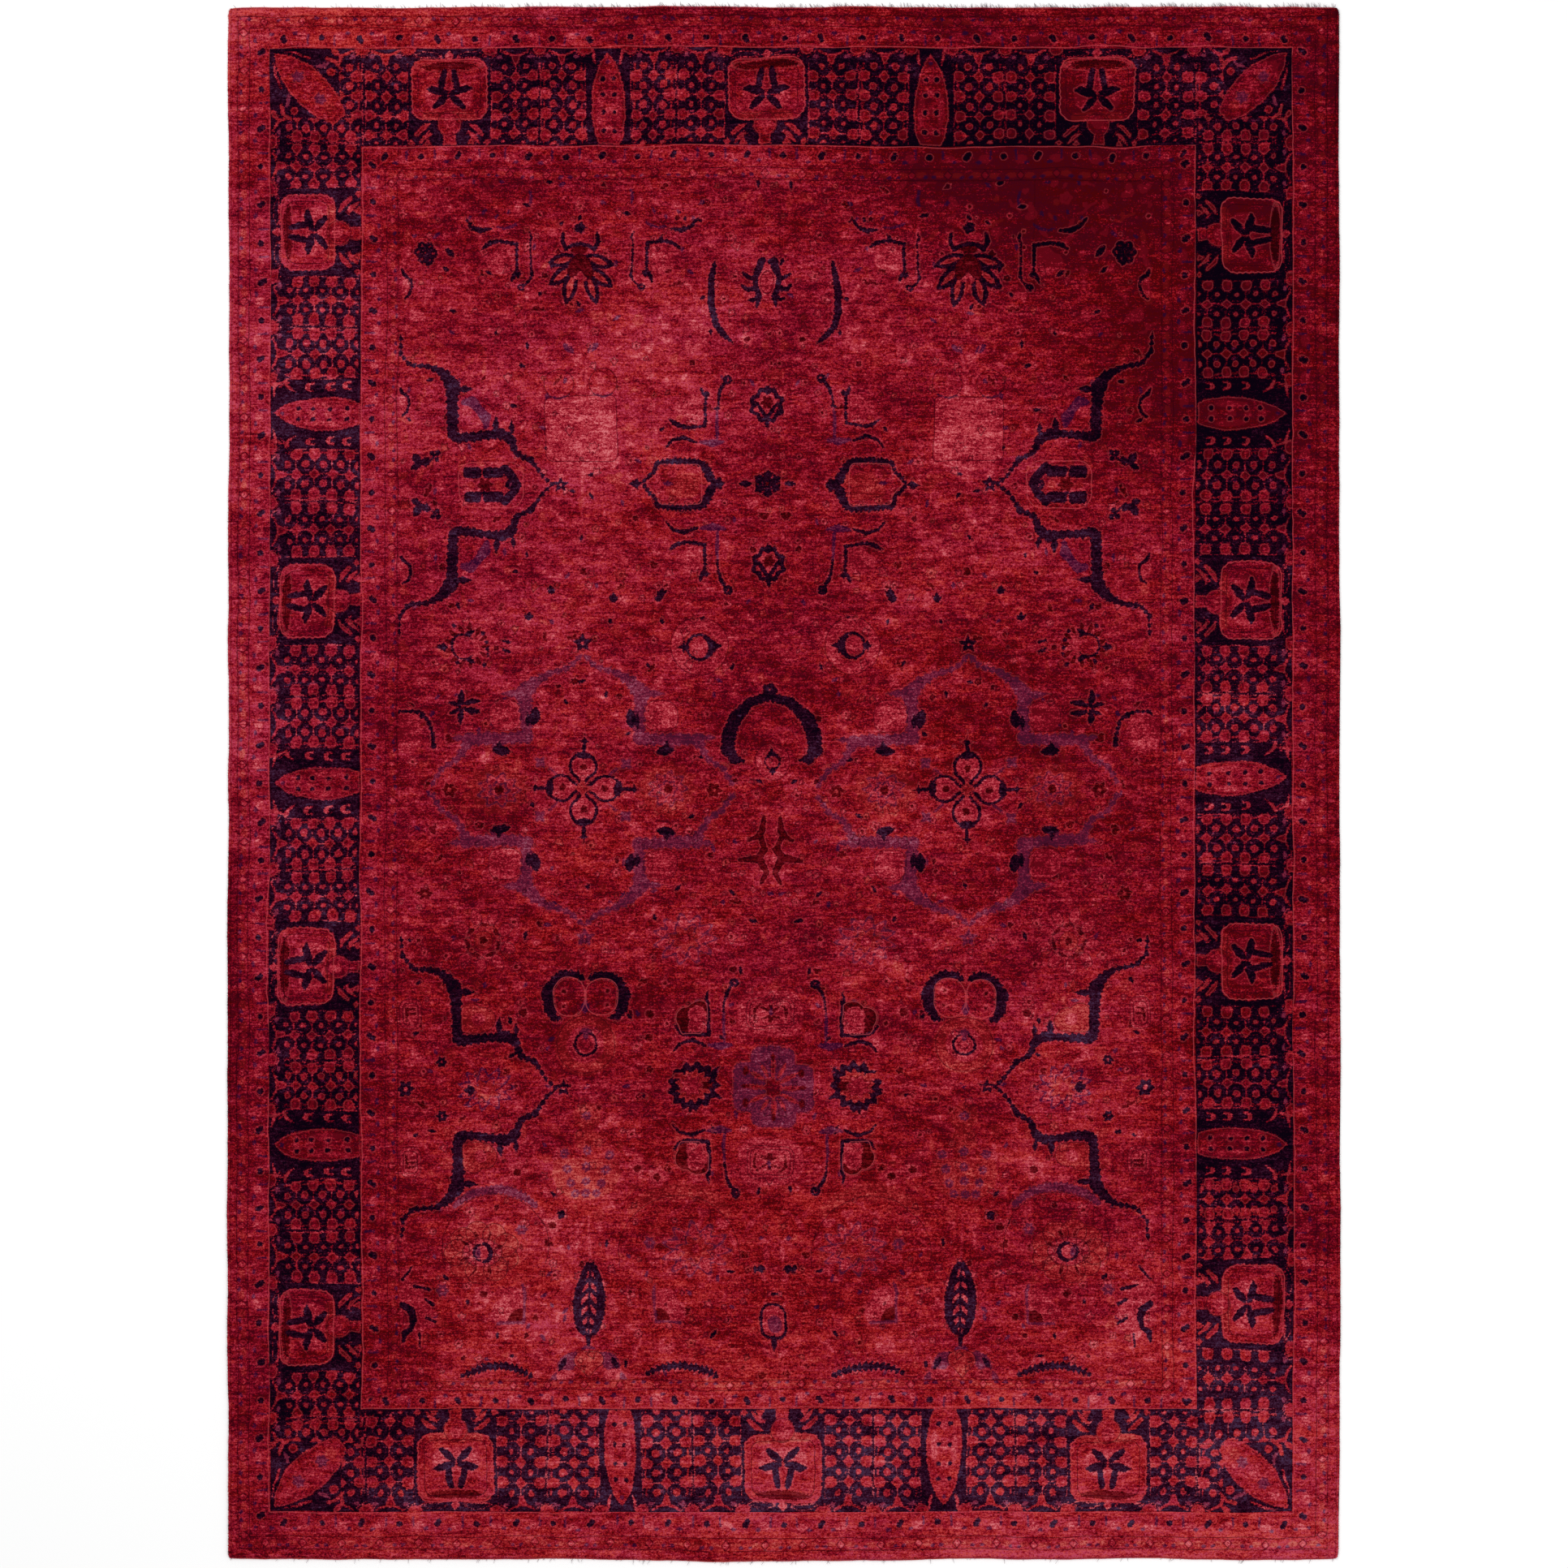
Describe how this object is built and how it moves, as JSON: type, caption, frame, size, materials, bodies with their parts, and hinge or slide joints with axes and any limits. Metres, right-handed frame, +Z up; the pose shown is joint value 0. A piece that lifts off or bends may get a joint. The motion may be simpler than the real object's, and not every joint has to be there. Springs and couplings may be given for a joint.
{
  "type": "area rug",
  "caption": "Hand-knotted overdyed wool area rug with a medallion field, nested borders, bound sides and turned-under ends.",
  "frame": {"origin": "on the floor, under the middle of the rug", "axes": "+X across the warps, to the rug's right; +Y along the warps, to its far end; +Z up, out of the pile"},
  "size_m": [3.05, 4.27, 0.009],
  "materials": {
    "field_pile": "sheared wool pile, overdyed crimson, soft sheen",
    "border_pile": "sheared wool pile, overdyed near-black navy and crimson",
    "guard_pile": "sheared wool pile, overdyed rose red",
    "edge_pile": "sheared wool pile, plain overdyed crimson",
    "ground_cloth": "flat woven cotton, knot backs showing, dyed through",
    "warp_cord": "cotton warp bundle, stained by the overdye",
    "selvedge_yarn": "wool yarn wound tight round the edge",
    "turned_end": "plain-woven cotton, dyed red, folded under",
    "lock_yarn": "twined cotton yarn",
    "hem_thread": "waxed sewing thread"
  },
  "bodies": {
    "root": {"edge_stripe_far": "edge_pile", "edge_stripe_left": "edge_pile", "edge_stripe_near": "edge_pile", "edge_stripe_right": "edge_pile", "field_pile_1": "field_pile", "field_pile_2": "field_pile", "field_pile_3": "field_pile", "field_pile_4": "field_pile", "field_pile_5": "field_pile", "field_pile_6": "field_pile", "ground_cloth": "ground_cloth", "hem_stitches_far": "hem_thread", "hem_stitches_near": "hem_thread", "inner_guard_far": "guard_pile", "inner_guard_left": "guard_pile", "inner_guard_near": "guard_pile", "inner_guard_right": "guard_pile", "lock_row_far": "lock_yarn", "lock_row_near": "lock_yarn", "main_border_far": "border_pile", "main_border_left": "border_pile", "main_border_near": "border_pile", "main_border_right": "border_pile", "outer_guard_far": "guard_pile", "outer_guard_left": "guard_pile", "outer_guard_near": "guard_pile", "outer_guard_right": "guard_pile", "selvedge_core_left": "warp_cord", "selvedge_core_right": "warp_cord", "selvedge_wrap_left": "selvedge_yarn", "selvedge_wrap_right": "selvedge_yarn", "turned_end_far": "turned_end", "turned_end_near": "turned_end"}
  },
  "joints": []
}
